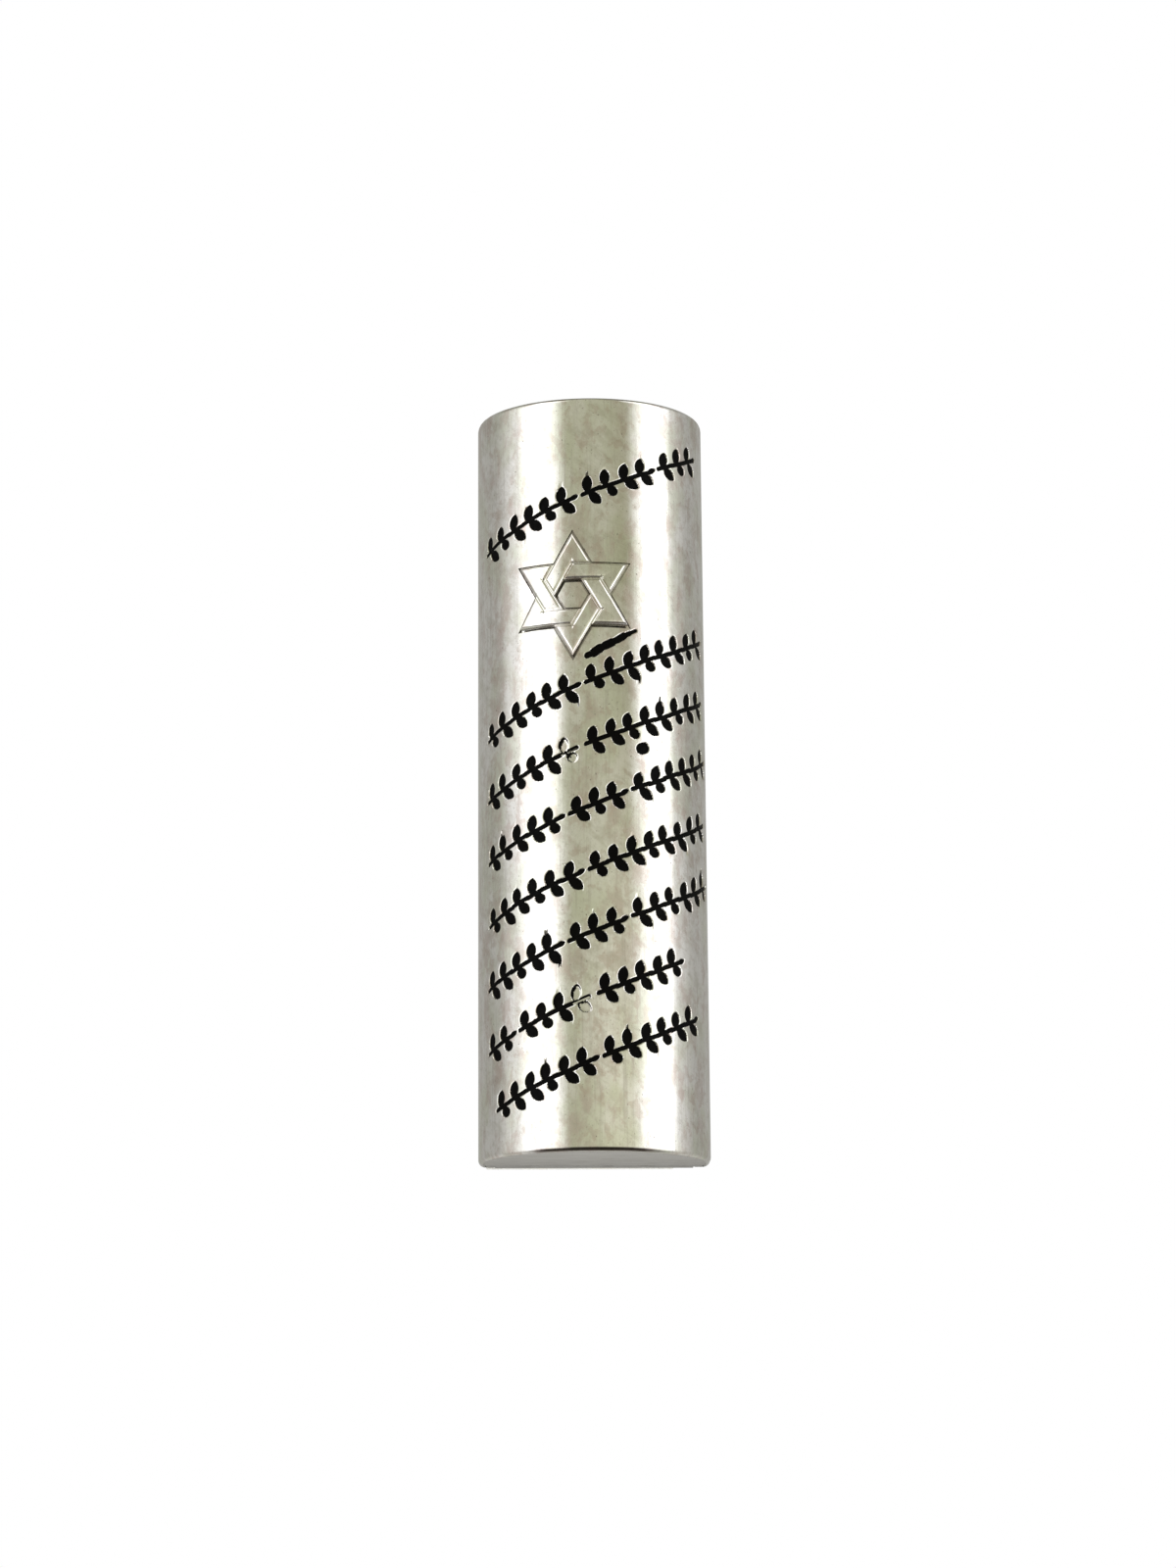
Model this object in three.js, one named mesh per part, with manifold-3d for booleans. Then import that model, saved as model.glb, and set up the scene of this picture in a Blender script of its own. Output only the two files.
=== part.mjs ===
// A small self-adhesive mezuzah case. A half-round metal shell with two end caps slides on a flat back
// plate, which foam tape holds to a doorpost. The lower cap pulls out and carries the rolled parchment
// in a clear sleeve. Rows of enamel-filled sprigs run round the front, under a raised star.
//
// Millimetres. +Z is up along the case, -Y is the front, and the origin is the centre of the tape's
// outer face.

import * as THREE from 'three';
import { mergeVertices } from 'three/addons/utils/BufferGeometryUtils.js';
import Module from 'manifold-3d';

const wasm = await Module();
wasm.setup();

// Overall size of the case
const CASE_WIDTH = 21;
const CASE_LENGTH = 70;
const SIDE_HEIGHT = 2;
const ARCH_HEIGHT = 9;
const TAPE_THICKNESS = 0.8;

// Shell, end caps and back plate
const SHELL_WALL = 1.4;
const LIP_WIDTH = 0.5;
const CAP_THICKNESS = 0.8;
const PLUG_LENGTH = 3;
const BACK_LIP = 0.8;
const GROOVE_DEPTH = 0.8;
const GROOVE_HEIGHT = 0.9;
const FIT_GAP = 0.08;

// Adhesive tape, put on slightly off centre
const TAPE_WIDTH = 17;
const TAPE_OFFSET = -1.3;
const BOND_GAP = 0.02;

// Parchment roll and its sleeve
const ROLL_RADIUS = 3.1;
const ROLL_CORE_RADIUS = 1;
const ROLL_LENGTH = 58;
const PARCHMENT_THICKNESS = 0.25;
const PARCHMENT_PITCH = 0.45;
const ROLL_STEPS_PER_TURN = 14;
const SLEEVE_RADIUS = 3.5;
const SLEEVE_WALL = 0.25;
const SLEEVE_LENGTH = 61;
const SOCKET_DEPTH = 2.2;

// Engraved rows of sprigs: the number of leaf pairs of each sprig, from left to right
const ROW_SLOPE = 0.4;
const ROW_PITCH = 5.8;
const TOP_ROW_HEIGHT = 25.95;
const SECOND_ROW_HEIGHT = 8.05;
const LEAF_PITCH = 1.65;
const SPRIG_GAP = 0.85;
const ROWS = [
  { start: -11.7, sprigs: [6, 4, 3] },
  { start: -11.5, sprigs: [6, 8] },
  { start: -11.5, sprigs: [6, 8] },
  { start: -11.4, sprigs: [5, 3, 6] },
  { start: -11.3, sprigs: [6, 8] },
  { start: -11.5, sprigs: [5, 3, 6] },
  { start: -11.4, sprigs: [2, 4, 5] },
  { start: -10.1, sprigs: [6, 6] },
];
const LEAF_HALF_HEIGHT = 1.35;
const LEAF_LEAN = 0.45;
const STEM_WIDTH = 0.5;
const LEAF_OVERLAP = 0.05;
const RECESS_DEPTH = 0.36;
const INLAY_DROP = 0.05;
const INLAY_DEPTH = 0.33;
const RECESS_CLEARANCE = 0.03;

// Short stroke under the star
const ACCENT_START = [-0.6, 10.25];
const ACCENT_END = [3.9, 12.75];
const ACCENT_WIDTH = 0.6;
const ACCENT_OVERLAP = 0.1;

// Small oval mark between the third and fourth rows
const DOT_PLACE = [4.5, 1.75];
const DOT_WIDTH = 1.3;
const DOT_HEIGHT = 1.1;
const DOT_SIDES = 12;

// Raised star
const STAR_PLACE = [-1.9, 16];
const STAR_RADIUS = 5.8;
const STAR_BAND = 1.6;
const STAR_RISE = 0.45;
const STAR_SEAT_DEPTH = 0.2;
const STAR_CLEARANCE = 0.04;
const STAR_OVERLAP = 0.05;

// How far cutting solids reach past what they cut, and joined solids reach into each other
const CUT_MARGIN = 1;
const JOIN_OVERLAP = 0.1;
const WELD_DISTANCE = 1e-5;
const ARCH_CURVE_SEGMENTS = 10;
const ROUND_CURVE_SEGMENTS = 8;
const ARC_TABLE_STEPS = 720;

const CASE_BACK = -TAPE_THICKNESS;
const ARCH_BASE = CASE_BACK - SIDE_HEIGHT;
const GROOVE_FRONT = CASE_BACK - BACK_LIP - GROOVE_HEIGHT;
const HALF_WIDTH = CASE_WIDTH / 2;
const HALF_LENGTH = CASE_LENGTH / 2;
const CAVITY_HALF_WIDTH = HALF_WIDTH - SHELL_WALL;
const ROLL_CENTRE = (GROOVE_FRONT + ARCH_BASE - ARCH_HEIGHT + SHELL_WALL) / 2;
const SOCKET_FLOOR = -HALF_LENGTH + CAP_THICKNESS + PLUG_LENGTH - SOCKET_DEPTH;

const materials = {
  polished: { color: 0xc9c8c2, roughness: 0.16, metalness: 1 },
  satin: { color: 0xa3a3a1, roughness: 0.45, metalness: 1 },
  plate: { color: 0x8d8d8b, roughness: 0.5, metalness: 1 },
  enamel: { color: 0x14120f, roughness: 0.4, metalness: 0 },
  foam: { color: 0xeeeeea, roughness: 0.9, metalness: 0 },
  parchment: { color: 0xe4d6b4, roughness: 0.85, metalness: 0 },
  clear: { color: 0xe8eef2, roughness: 0.1, metalness: 0 },
};

// A closed geometry, placed by a matrix, as a solid that can be joined and cut
function solidOf(geometry, matrix) {
  const bare = geometry.clone();
  bare.deleteAttribute('normal');
  bare.deleteAttribute('uv');
  if (matrix) {
    bare.applyMatrix4(matrix);
  }
  const merged = mergeVertices(bare, WELD_DISTANCE);
  const mesh = new wasm.Mesh({
    numProp: 3,
    vertProperties: new Float32Array(merged.attributes.position.array),
    triVerts: new Uint32Array(merged.index.array),
  });
  return new wasm.Manifold(mesh);
}

function union(solids) {
  return solids.reduce((joined, solid) => joined.add(solid));
}

function makeMesh(name, geometry, finish) {
  const mesh = new THREE.Mesh(geometry, new THREE.MeshStandardMaterial(materials[finish]));
  mesh.name = name;
  return mesh;
}

function meshOfSolid(name, solid, finish) {
  const { vertProperties, triVerts } = solid.getMesh();
  const geometry = new THREE.BufferGeometry();
  geometry.setAttribute('position', new THREE.BufferAttribute(vertProperties, 3));
  geometry.setIndex(new THREE.BufferAttribute(triVerts, 1));
  geometry.computeVertexNormals();
  return makeMesh(name, geometry, finish);
}

// Half-round section, inset from the outside: straight sides from the back, then an elliptical arch
function sectionShape(inset, back) {
  const halfWidth = HALF_WIDTH - inset;
  const shape = new THREE.Shape();
  shape.moveTo(halfWidth, back);
  shape.lineTo(halfWidth, ARCH_BASE);
  shape.absellipse(0, ARCH_BASE, halfWidth, ARCH_HEIGHT - inset, 0, -Math.PI, true);
  shape.lineTo(-halfWidth, back);
  shape.closePath();
  return shape;
}

function prism(shape, low, high, curveSegments = ARCH_CURVE_SEGMENTS) {
  const options = { depth: high - low, bevelEnabled: false, curveSegments };
  return new THREE.ExtrudeGeometry(shape, options).translate(0, 0, low);
}

function sectionSolid(inset, back, low, high) {
  return solidOf(prism(sectionShape(inset, back), low, high));
}

// A half-round solid that cuts right through the case, from end to end and out of its back
function throughSolid(inset) {
  const reach = HALF_LENGTH + CUT_MARGIN;
  return sectionSolid(inset, CASE_BACK + CUT_MARGIN, -reach, reach);
}

function boxSolid(low, high) {
  const size = new THREE.Vector3().subVectors(high, low);
  const centre = new THREE.Vector3().addVectors(low, high).multiplyScalar(0.5);
  const place = new THREE.Matrix4().setPosition(centre);
  return solidOf(new THREE.BoxGeometry(size.x, size.y, size.z), place);
}

// Running length of the arch from its crown, so that a distance round the front becomes an angle
const archTable = [{ angle: 0, distance: 0 }];
for (let step = 1; step <= ARC_TABLE_STEPS; step += 1) {
  const angle = (Math.PI / 2) * (step / ARC_TABLE_STEPS);
  const middle = angle - Math.PI / 4 / ARC_TABLE_STEPS;
  const speed = Math.hypot(HALF_WIDTH * Math.cos(middle), ARCH_HEIGHT * Math.sin(middle));
  const distance = archTable[step - 1].distance + (speed * Math.PI) / 2 / ARC_TABLE_STEPS;
  archTable.push({ angle, distance });
}

function archAngle(distance) {
  const found = archTable.find((entry) => entry.distance >= Math.abs(distance));
  return Math.sign(distance) * found.angle;
}

// Frame on the front surface: X runs round the arch, Y up the case and Z straight out of the metal
function surfaceFrame(distance, height, turn = 0) {
  const angle = archAngle(distance);
  const outward = new THREE.Vector3(
    ARCH_HEIGHT * Math.sin(angle),
    -HALF_WIDTH * Math.cos(angle),
    0,
  ).normalize();
  const up = new THREE.Vector3(0, 0, 1);
  const along = new THREE.Vector3().crossVectors(up, outward);
  const frame = new THREE.Matrix4().makeBasis(along, up, outward);
  frame.setPosition(HALF_WIDTH * Math.sin(angle), ARCH_BASE - ARCH_HEIGHT * Math.cos(angle), height);
  return frame.multiply(new THREE.Matrix4().makeRotationZ(turn));
}

// A flat outline standing on the surface, deep enough to pass through any skin of the shell
function surfaceTool(points, frame) {
  const shape = new THREE.Shape(points.map(([x, y]) => new THREE.Vector2(x, y)));
  return solidOf(prism(shape, -SHELL_WALL / 2, SHELL_WALL / 2), frame);
}

function bandPoints(length, width) {
  const halfLength = length / 2;
  const halfWidth = width / 2;
  return [
    [-halfLength, -halfWidth],
    [halfLength, -halfWidth],
    [halfLength, halfWidth],
    [-halfLength, halfWidth],
  ];
}

// One pair of leaves on their piece of stem: a six-sided outline, pointed above and below the stem
function leafPairPoints(pairLength, grow) {
  const end = pairLength / 2 + LEAF_OVERLAP + grow;
  const stem = STEM_WIDTH / 2 + grow;
  const tip = LEAF_HALF_HEIGHT + grow;
  return [
    [-end, -stem],
    [LEAF_LEAN, -tip],
    [end, -stem],
    [end, stem],
    [LEAF_LEAN, tip],
    [-end, stem],
  ];
}

function sprigTool(rowHeight, start, leafPairs, grow) {
  const turn = Math.atan(ROW_SLOPE);
  const outline = leafPairPoints(LEAF_PITCH / Math.cos(turn), grow);
  const pairs = [];
  for (let pair = 0; pair < leafPairs; pair += 1) {
    const distance = start + (pair + 0.5) * LEAF_PITCH;
    const frame = surfaceFrame(distance, rowHeight + ROW_SLOPE * distance, turn);
    pairs.push(surfaceTool(outline, frame));
  }
  return union(pairs);
}

// The stroke is two lengths, each placed by its middle, so that it follows the curve of the front
function accentTool(grow) {
  const run = ACCENT_END[0] - ACCENT_START[0];
  const rise = ACCENT_END[1] - ACCENT_START[1];
  const turn = Math.atan2(rise, run);
  const length = Math.hypot(run, rise) / 2 + 2 * (ACCENT_OVERLAP + grow);
  const halves = [1 / 4, 3 / 4].map((share) => {
    const distance = ACCENT_START[0] + share * run;
    const height = ACCENT_START[1] + share * rise;
    const outline = bandPoints(length, ACCENT_WIDTH + 2 * grow);
    return surfaceTool(outline, surfaceFrame(distance, height, turn));
  });
  return union(halves);
}

function dotTool(grow) {
  const outline = [];
  for (let side = 0; side < DOT_SIDES; side += 1) {
    const angle = (2 * Math.PI * side) / DOT_SIDES;
    const across = (DOT_WIDTH / 2 + grow) * Math.cos(angle);
    outline.push([across, (DOT_HEIGHT / 2 + grow) * Math.sin(angle)]);
  }
  return surfaceTool(outline, surfaceFrame(DOT_PLACE[0], DOT_PLACE[1]));
}

// Six-pointed star with a six-sided hole. It is six kite-shaped sectors, so that it follows the curve of
// the front, and each reaches a little way into the next.
function starTool(grow) {
  const outer = STAR_RADIUS / 2 + grow;
  const inner = STAR_RADIUS / 2 - STAR_BAND - grow;
  const middle = (inner + 2 * outer) / 2;
  const sectorHalfAngle = Math.PI / 6;
  const widening = STAR_OVERLAP * Math.cos(sectorHalfAngle);
  const drop = STAR_OVERLAP * Math.sin(sectorHalfAngle);
  const edge = (level) => [level * Math.tan(sectorHalfAngle) + widening, level - drop];
  const [notchX, notchY] = edge(outer);
  const [cornerX, cornerY] = edge(inner);
  const outline = [
    [0, 2 * outer],
    [-notchX, notchY],
    [-cornerX, cornerY],
    [cornerX, cornerY],
    [notchX, notchY],
  ].map(([x, y]) => [x, y - middle]);
  const sectors = [];
  for (let point = 0; point < 6; point += 1) {
    const turn = (point * Math.PI) / 3;
    const distance = STAR_PLACE[0] - middle * Math.sin(turn);
    const height = STAR_PLACE[1] + middle * Math.cos(turn);
    sectors.push(surfaceTool(outline, surfaceFrame(distance, height, turn)));
  }
  return union(sectors);
}

// Skin of the shell between two depths below its surface; a negative depth stands proud of it
function skin(outerDepth, innerDepth) {
  const outer = sectionSolid(outerDepth, CASE_BACK, -HALF_LENGTH, HALF_LENGTH);
  return outer.subtract(throughSolid(innerDepth));
}

function makeSprigs(recessSkin, inlaySkin) {
  const recesses = [];
  const meshes = [];
  ROWS.forEach((row, rowIndex) => {
    const lowerRowHeight = SECOND_ROW_HEIGHT - (rowIndex - 1) * ROW_PITCH;
    const rowHeight = rowIndex === 0 ? TOP_ROW_HEIGHT : lowerRowHeight;
    let start = row.start;
    row.sprigs.forEach((leafPairs, sprigIndex) => {
      const name = `inlay_${rowIndex + 1}_${sprigIndex + 1}`;
      const filling = sprigTool(rowHeight, start, leafPairs, 0).intersect(inlaySkin);
      recesses.push(sprigTool(rowHeight, start, leafPairs, RECESS_CLEARANCE).intersect(recessSkin));
      meshes.push(meshOfSolid(name, filling, 'enamel'));
      start += leafPairs * LEAF_PITCH + SPRIG_GAP;
    });
  });
  for (const [name, tool] of [['accent_inlay', accentTool], ['dot_inlay', dotTool]]) {
    recesses.push(tool(RECESS_CLEARANCE).intersect(recessSkin));
    meshes.push(meshOfSolid(name, tool(0).intersect(inlaySkin), 'enamel'));
  }
  return { recesses, meshes };
}

// The shell is open along its back, has a groove for the plate in each side, and is rebated at both ends
function makeShell(recesses) {
  const outer = sectionSolid(0, CASE_BACK, -HALF_LENGTH, HALF_LENGTH);
  const reach = HALF_LENGTH + CUT_MARGIN;
  const grooveHalfWidth = CAVITY_HALF_WIDTH + GROOVE_DEPTH;
  const groove = boxSolid(
    new THREE.Vector3(-grooveHalfWidth, GROOVE_FRONT, -reach),
    new THREE.Vector3(grooveHalfWidth, CASE_BACK - BACK_LIP, reach),
  );
  const rebateEdge = HALF_LENGTH - CAP_THICKNESS;
  const topRebate = sectionSolid(LIP_WIDTH, CASE_BACK + CUT_MARGIN, rebateEdge, reach);
  const bottomRebate = sectionSolid(LIP_WIDTH, GROOVE_FRONT, -reach, -rebateEdge);
  const cuts = union([throughSolid(SHELL_WALL), groove, topRebate, bottomRebate, ...recesses]);
  return meshOfSolid('front_shell', outer.subtract(cuts), 'polished');
}

// The top cap reaches over the plate's upper edge, which stops the case as it slides down
function makeTopCap() {
  const rebateEdge = HALF_LENGTH - CAP_THICKNESS + FIT_GAP;
  const flange = sectionSolid(LIP_WIDTH + FIT_GAP, CASE_BACK, rebateEdge, HALF_LENGTH);
  const plugBack = GROOVE_FRONT - FIT_GAP;
  const plugTop = rebateEdge + JOIN_OVERLAP;
  const plug = sectionSolid(SHELL_WALL + FIT_GAP, plugBack, rebateEdge - PLUG_LENGTH, plugTop);
  return meshOfSolid('top_cap', flange.add(plug), 'satin');
}

// The bottom cap stays in front of the plate, and its plug has a socket for the sleeve
function makeBottomCap() {
  const rebateEdge = -HALF_LENGTH + CAP_THICKNESS - FIT_GAP;
  const back = GROOVE_FRONT - FIT_GAP;
  const flange = sectionSolid(LIP_WIDTH + FIT_GAP, back, -HALF_LENGTH, rebateEdge);
  const plugTop = SOCKET_FLOOR + SOCKET_DEPTH;
  const plug = sectionSolid(SHELL_WALL + FIT_GAP, back, rebateEdge - JOIN_OVERLAP, plugTop);
  const bore = new THREE.Shape();
  bore.absarc(0, ROLL_CENTRE, SLEEVE_RADIUS + FIT_GAP, 0, 2 * Math.PI);
  const socketTop = plugTop + CUT_MARGIN;
  const socket = solidOf(prism(bore, SOCKET_FLOOR, socketTop, ROUND_CURVE_SEGMENTS));
  return meshOfSolid('bottom_cap', flange.add(plug).subtract(socket), 'satin');
}

// A flat plate with a tongue along each side
function makeBackPlate() {
  const webHalfWidth = CAVITY_HALF_WIDTH - FIT_GAP;
  const tongueHalfWidth = webHalfWidth + GROOVE_DEPTH;
  const tongueBack = CASE_BACK - BACK_LIP - FIT_GAP;
  const front = GROOVE_FRONT + FIT_GAP;
  const outline = [
    [webHalfWidth, CASE_BACK],
    [webHalfWidth, tongueBack],
    [tongueHalfWidth, tongueBack],
    [tongueHalfWidth, front],
    [-tongueHalfWidth, front],
    [-tongueHalfWidth, tongueBack],
    [-webHalfWidth, tongueBack],
    [-webHalfWidth, CASE_BACK],
  ];
  const shape = new THREE.Shape(outline.map(([x, y]) => new THREE.Vector2(x, y)));
  return makeMesh('back_plate', prism(shape, -HALF_LENGTH, HALF_LENGTH - CAP_THICKNESS), 'plate');
}

function makeTape() {
  const thickness = TAPE_THICKNESS - BOND_GAP;
  const strip = new THREE.BoxGeometry(TAPE_WIDTH, thickness, CASE_LENGTH);
  const tape = makeMesh('adhesive_tape', strip, 'foam');
  tape.position.set(TAPE_OFFSET, -thickness / 2, 0);
  return tape;
}

// Clear tube that stands in the bottom cap's socket
function makeSleeve() {
  const tube = new THREE.Shape();
  tube.absarc(0, 0, SLEEVE_RADIUS, 0, 2 * Math.PI);
  const bore = new THREE.Path();
  bore.absarc(0, 0, SLEEVE_RADIUS - SLEEVE_WALL, 0, 2 * Math.PI, true);
  tube.holes.push(bore);
  const length = prism(tube, 0, SLEEVE_LENGTH, ROUND_CURVE_SEGMENTS);
  const sleeve = makeMesh('scroll_sleeve', length, 'clear');
  sleeve.position.set(0, ROLL_CENTRE, SOCKET_FLOOR + FIT_GAP);
  return sleeve;
}

// Parchment rolled up from one end: a strip that winds outwards in a spiral
function makeScroll() {
  const turns = (ROLL_RADIUS - ROLL_CORE_RADIUS) / PARCHMENT_PITCH;
  const steps = Math.round(turns * ROLL_STEPS_PER_TURN);
  const outerSide = [];
  const innerSide = [];
  for (let step = 0; step <= steps; step += 1) {
    const angle = (2 * Math.PI * turns * step) / steps;
    const radius = ROLL_CORE_RADIUS + (PARCHMENT_PITCH * angle) / (2 * Math.PI);
    const direction = new THREE.Vector2(Math.cos(angle), Math.sin(angle));
    outerSide.push(direction.clone().multiplyScalar(radius));
    innerSide.push(direction.clone().multiplyScalar(radius - PARCHMENT_THICKNESS));
  }
  const strip = new THREE.Shape([...outerSide, ...innerSide.reverse()]);
  const scroll = makeMesh('parchment_scroll', prism(strip, 0, ROLL_LENGTH), 'parchment');
  scroll.position.set(0, ROLL_CENTRE, SOCKET_FLOOR + 2 * FIT_GAP);
  return scroll;
}

function makeStar() {
  const seatSkin = skin(-CUT_MARGIN, STAR_SEAT_DEPTH + STAR_CLEARANCE);
  const seat = starTool(STAR_CLEARANCE).intersect(seatSkin);
  const star = starTool(0).intersect(skin(-STAR_RISE, STAR_SEAT_DEPTH));
  return { seat, mesh: meshOfSolid('star_emblem', star, 'polished') };
}

const sprigs = makeSprigs(skin(-CUT_MARGIN, RECESS_DEPTH), skin(INLAY_DROP, INLAY_DEPTH));
const star = makeStar();

const fixedPart = new THREE.Group();
fixedPart.add(makeBackPlate(), makeTape());

const slidingCase = new THREE.Group();
slidingCase.add(makeShell([...sprigs.recesses, star.seat]), makeTopCap(), star.mesh, ...sprigs.meshes);

const pullOutPart = new THREE.Group();
pullOutPart.add(makeBottomCap(), makeSleeve(), makeScroll());

const mezuzahCase = new THREE.Group();
mezuzahCase.add(fixedPart, slidingCase, pullOutPart);

export default mezuzahCase;
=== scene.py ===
import math

import bmesh
import bpy
import numpy as np
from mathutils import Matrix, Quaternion, Vector


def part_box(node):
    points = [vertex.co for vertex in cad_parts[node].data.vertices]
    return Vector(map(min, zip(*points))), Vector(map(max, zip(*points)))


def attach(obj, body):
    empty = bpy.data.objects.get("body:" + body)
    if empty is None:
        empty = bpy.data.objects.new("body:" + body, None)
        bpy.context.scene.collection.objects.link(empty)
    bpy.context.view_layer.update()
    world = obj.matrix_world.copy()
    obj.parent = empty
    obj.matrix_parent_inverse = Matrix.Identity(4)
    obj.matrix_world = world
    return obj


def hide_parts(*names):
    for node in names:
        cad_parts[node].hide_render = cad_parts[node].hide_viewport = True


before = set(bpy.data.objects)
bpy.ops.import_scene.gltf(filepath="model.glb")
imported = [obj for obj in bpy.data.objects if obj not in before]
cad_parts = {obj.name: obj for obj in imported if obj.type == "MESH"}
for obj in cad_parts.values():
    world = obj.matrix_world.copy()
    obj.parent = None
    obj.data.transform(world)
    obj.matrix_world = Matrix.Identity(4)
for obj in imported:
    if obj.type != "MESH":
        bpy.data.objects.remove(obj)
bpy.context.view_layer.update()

# The object is a half-round metal case on a flat back plate. Lengths are millimetres until a mesh is
# made. "distance" is measured round the outside of the case from the crown of its front, "height" is Z
# and "depth" goes straight into the metal.

MM = 0.001
SEED = 613


def box_mm(node):
    low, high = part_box(node)
    return np.array(low) / MM, np.array(high) / MM


# Sizes of the case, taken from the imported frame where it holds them
SHELL_LOW, SHELL_HIGH = box_mm("front_shell")
PLATE_LOW, PLATE_HIGH = box_mm("back_plate")
TAPE_LOW, TAPE_HIGH = box_mm("adhesive_tape")
SLEEVE_LOW, SLEEVE_HIGH = box_mm("scroll_sleeve")
SCROLL_LOW, SCROLL_HIGH = box_mm("parchment_scroll")
TOP_CAP_LOW, TOP_CAP_HIGH = box_mm("top_cap")
BOTTOM_CAP_LOW, BOTTOM_CAP_HIGH = box_mm("bottom_cap")
HALF_WIDTH = SHELL_HIGH[0]
HALF_LENGTH = SHELL_HIGH[2]
CASE_BACK = SHELL_HIGH[1]
FIT_GAP = 0.08
GROOVE_FRONT = PLATE_LOW[1] - FIT_GAP
ARCH_HEIGHT = 9.0
ARCH_BASE = SHELL_LOW[1] + ARCH_HEIGHT
SIDE_HEIGHT = CASE_BACK - ARCH_BASE
SHELL_WALL = 1.4
LIP_WIDTH = 0.5
CAP_THICKNESS = 0.8
BACK_LIP = 0.8
GROOVE_DEPTH = 0.8
SEAM = 0.015
SEAM_CHAMFER = 0.006
CAP_EDGE = 0.02
PLUG_TAPER_LENGTH = 0.3
PLUG_TAPER = 0.25
PLUG_BACK_TAPER = 0.1
BACK_CORNER_RADIUS = 0.7
FRONT_EDGE_RADIUS = 0.48
BACK_EDGE_RADIUS = 0.62
BACK_EDGE_START = 12.0
BACK_EDGE_RUN = 4.5
EDGE_STEPS = 6

# Engraved rows of sprigs, as in the CAD: (start, leaf pairs of each sprig)
ROW_SLOPE = 0.4
ROW_PITCH = 5.8
TOP_ROW_HEIGHT = 25.95
SECOND_ROW_HEIGHT = 8.05
LEAF_PITCH = 1.65
SPRIG_GAP = 0.85
SPRIG_REACH = 1.7
ROWS = [
    (-11.7, [6, 4, 3]),
    (-11.5, [6, 8]),
    (-11.5, [6, 8]),
    (-11.4, [5, 3, 6]),
    (-11.3, [6, 8]),
    (-11.5, [5, 3, 6]),
    (-11.4, [2, 4, 5]),
    (-10.1, [6, 6]),
]
# Leaf pairs whose enamel has fallen out, as (row, sprig, pair)
BARE_PAIRS = {(3, 1, 6), (7, 2, 4)}
# Width of the rim of enamel left in a bare outline, put on its upper left walls as painted shade
PAINTED_SHADE_RESIDUE_WIDTH = 0.3
STEM_RADIUS = 0.21
STEM_SWAY = 0.06
LEAF_LENGTH = 1.62
LEAF_WIDTH = 0.98
LEAF_TURN = math.radians(60)
LEAF_SET_BACK = {1: 0.42, -1: 0.22}
LEAF_OFFSET = 0.03
TIP_LEAF_SET_BACK = 0.35
TIP_LEAF_TURN = 0.1
TIP_LEAF_LENGTH = 0.95
TIP_LEAF_WIDTH = 0.5
STALK_LENGTH = 0.62
STALK_RADIUS = 0.1
OLIVE_LENGTH = 0.16
OLIVE_RADIUS = 0.46
ACCENT_START = (-0.6, 10.25)
ACCENT_END = (3.9, 12.75)
ACCENT_RADII = (0.3, 0.43, 0.35, 0.4, 0.32, 0.35, 0.24, 0.18)
# What holds the accent: distances from and to, then heights at the crown from and to
ACCENT_AREA = (-1, 5, 9.45, 12)
DOT_PLACE = (4.5, 1.75)
DOT_HALF_WIDTH = 0.65
DOT_HALF_HEIGHT = 0.55
DOT_REACH = 0.9

# Profile of an engraved edge: a rounded shoulder, a steep wall and a flat floor
SHOULDER = 0.09
WALL_RUN = 0.09
SHOULDER_DROP = 0.045
WALL_FOOT_DEPTH = 0.30
FLOOR_DEPTH = 0.32
FLOOR_RUN = 0.04
ENAMEL_EDGE_DEPTH = 0.12
ENAMEL_MIDDLE_DEPTH = 0.16
ENAMEL_FOOT_DEPTH = 0.285
ENAMEL_TOP_INSET = 0.03
ENAMEL_FOOT_INSET = 0.088

# Raised star
STAR_DISTANCE = -1.9
STAR_HEIGHT = 16.0
STAR_RADIUS = 5.8
STAR_BAND = 1.5
STAR_FOOT = -0.16
STAR_RISE = 0.53
STAR_SHOULDER = 0.34
STAR_SEAT_DEPTH = 0.26
STAR_WEAVE = 0.012
STAR_WOVEN_ABOVE = 0.3
STAR_CLEARANCE = 0.21

# Grid of the shell's outside: where it is engraved, above and between the rows, and then from there
# round the arch, the side, the corner and the back. SNAP_REACH is how far a point moves to an outline.
FINE_STEP = 0.08
FINE_REACH = 13.9
HALF_STRIP = 1.6
ACCENT_MARGIN = 0.6
DOT_MARGIN = 1.0
TOP_STEP = 0.5
PLAIN_STEP = 0.45
OUTER_STEPS = (0.3, 0.4, 0.16, 3.0)
SNAP_REACH = 0.044

# Camera: degrees below the case, aside and of roll; its distance in case widths; and where it aims,
# in millimetres right of and above the case's middle
CAMERA_TURNS = (13.5, -1.7, -0.41)
CAMERA_WIDTHS_AWAY = 17
CAMERA_LENS = 88.2
CAMERA_AIM = (-0.3, 0.87)


# ---- mesh helpers


def in_scene(name, data):
    obj = bpy.data.objects.new(name, data)
    bpy.context.scene.collection.objects.link(obj)
    return obj


def new_object(name, verts, faces, material, smooth_angle=None):
    """A mesh object from vertices in millimetres, with its normals pointing out."""
    mesh = bpy.data.meshes.new(name)
    mesh.from_pydata((np.asarray(verts) * MM).tolist(), [], [list(map(int, f)) for f in faces])
    mesh.validate()
    obj = in_scene(name, mesh)
    make_outward(mesh)
    if material:
        mesh.materials.append(material)
    if smooth_angle is not None:
        shade(mesh, smooth_angle)
    return obj


def make_outward(mesh):
    bm = bmesh.new()
    bm.from_mesh(mesh)
    bmesh.ops.recalc_face_normals(bm, faces=bm.faces)
    bm.to_mesh(mesh)
    bm.free()


def shade(mesh, angle):
    mesh.shade_smooth()
    mesh.set_sharp_from_angle(angle=math.radians(angle))


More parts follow.
